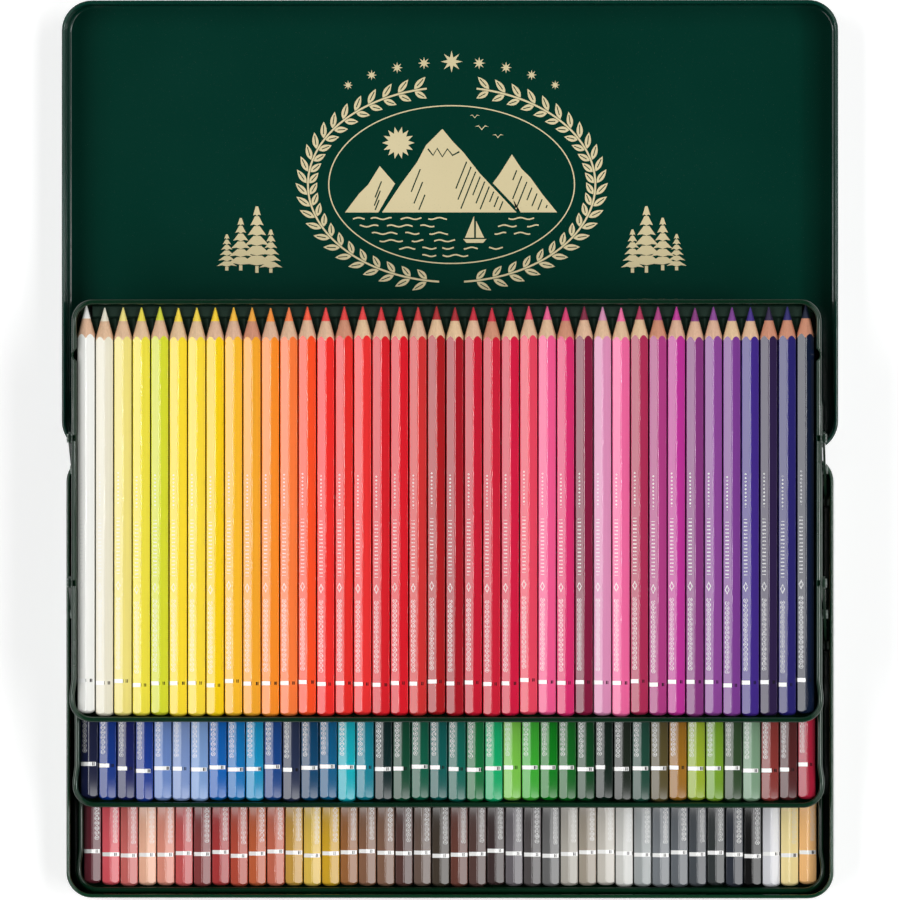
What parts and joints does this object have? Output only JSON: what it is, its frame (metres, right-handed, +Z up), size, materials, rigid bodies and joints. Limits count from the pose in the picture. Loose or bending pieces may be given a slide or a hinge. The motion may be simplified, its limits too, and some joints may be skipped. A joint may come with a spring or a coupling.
{
  "type": "colored pencil tin",
  "caption": "Green metal pencil tin lying open, its lid flat behind and three stepped trays of colored pencils fanned out on swing arms.",
  "frame": {"origin": "centre of the base tin's underside, on the surface that it stands on", "axes": "+Z up, +Y towards the back where the lid lies open, +X to the right of someone in front of the tin"},
  "size_m": [0.334, 0.386, 0.0603],
  "materials": {
    "green_enamel": "gloss",
    "tray_enamel": "gloss",
    "hinge_steel": "satin",
    "arm_steel": "satin",
    "rivet_steel": "satin",
    "liner_plastic": "satin",
    "painted_cedar": "gloss paint over wood",
    "colored_lead": "matt"
  },
  "bodies": {
    "base": {"base_tin": "green_enamel", "hinge_leaves_base": "hinge_steel", "hinge_rivets_base": "hinge_steel", "tray_fixings": "rivet_steel", "tray_bottom": "tray_enamel", "liner_bottom": "liner_plastic", "spacers_bottom": "rivet_steel", "rivets_bottom": "rivet_steel", "leads_bottom": "colored_lead", "pencils_bottom_1": "painted_cedar", "pencils_bottom_2": "painted_cedar", "pencils_bottom_3": "painted_cedar", "pencils_bottom_4": "painted_cedar", "pencils_bottom_5": "painted_cedar", "pencils_bottom_6": "painted_cedar", "pencils_bottom_7": "painted_cedar", "pencils_bottom_8": "painted_cedar", "hinge_pins": "hinge_steel"},
    "rear_arms": {"rear_arm_left": "arm_steel", "rear_arm_right": "arm_steel"},
    "front_arms": {"front_arm_left": "arm_steel", "front_arm_right": "arm_steel"},
    "middle_tray": {"tray_middle": "tray_enamel", "liner_middle": "liner_plastic", "spacers_middle": "rivet_steel", "rivets_middle": "rivet_steel", "leads_middle": "colored_lead", "pencils_middle_1": "painted_cedar", "pencils_middle_2": "painted_cedar", "pencils_middle_3": "painted_cedar", "pencils_middle_4": "painted_cedar", "pencils_middle_5": "painted_cedar", "pencils_middle_6": "painted_cedar", "pencils_middle_7": "painted_cedar", "pencils_middle_8": "painted_cedar"},
    "top_tray": {"tray_top": "tray_enamel", "liner_top": "liner_plastic", "spacers_top": "rivet_steel", "rivets_top": "rivet_steel", "leads_top": "colored_lead", "pencils_top_1": "painted_cedar", "pencils_top_2": "painted_cedar", "pencils_top_3": "painted_cedar", "pencils_top_4": "painted_cedar", "pencils_top_5": "painted_cedar", "pencils_top_6": "painted_cedar", "pencils_top_7": "painted_cedar", "pencils_top_8": "painted_cedar"},
    "lid": {"lid": "green_enamel", "hinge_leaves_lid": "hinge_steel", "hinge_rivets_lid": "hinge_steel"}
  },
  "joints": [
    {"name": "fold", "type": "hinge", "parent": "base", "child": "rear_arms", "pos_m": [0, 0.07565, 0.0078], "axis": [1, 0, 0], "range_deg": [0, 90]},
    {"name": "front_arm_turn", "type": "hinge", "parent": "base", "child": "front_arms", "pos_m": [0, 0.01365, 0.0078], "axis": [1, 0, 0], "range_deg": [0, 90]},
    {"name": "middle_tray_turn", "type": "hinge", "parent": "rear_arms", "child": "middle_tray", "pos_m": [0, 0.08915, 0.0313], "axis": [1, 0, 0], "range_deg": [-90, 0]},
    {"name": "top_tray_turn", "type": "hinge", "parent": "rear_arms", "child": "top_tray", "pos_m": [0, 0.10265, 0.0548], "axis": [1, 0, 0], "range_deg": [-90, 0]},
    {"name": "lid_hinge", "type": "hinge", "parent": "base", "child": "lid", "pos_m": [0, 0.097, 0.0215], "axis": [1, 0, 0], "range_deg": [0, 153]}
  ],
  "couplings": [
    {"joint": "front_arm_turn", "follows": "fold", "ratio": 1},
    {"joint": "middle_tray_turn", "follows": "fold", "ratio": -1},
    {"joint": "top_tray_turn", "follows": "fold", "ratio": -1},
    {"joint": "lid_hinge", "follows": "fold", "ratio": 1.7}
  ]
}
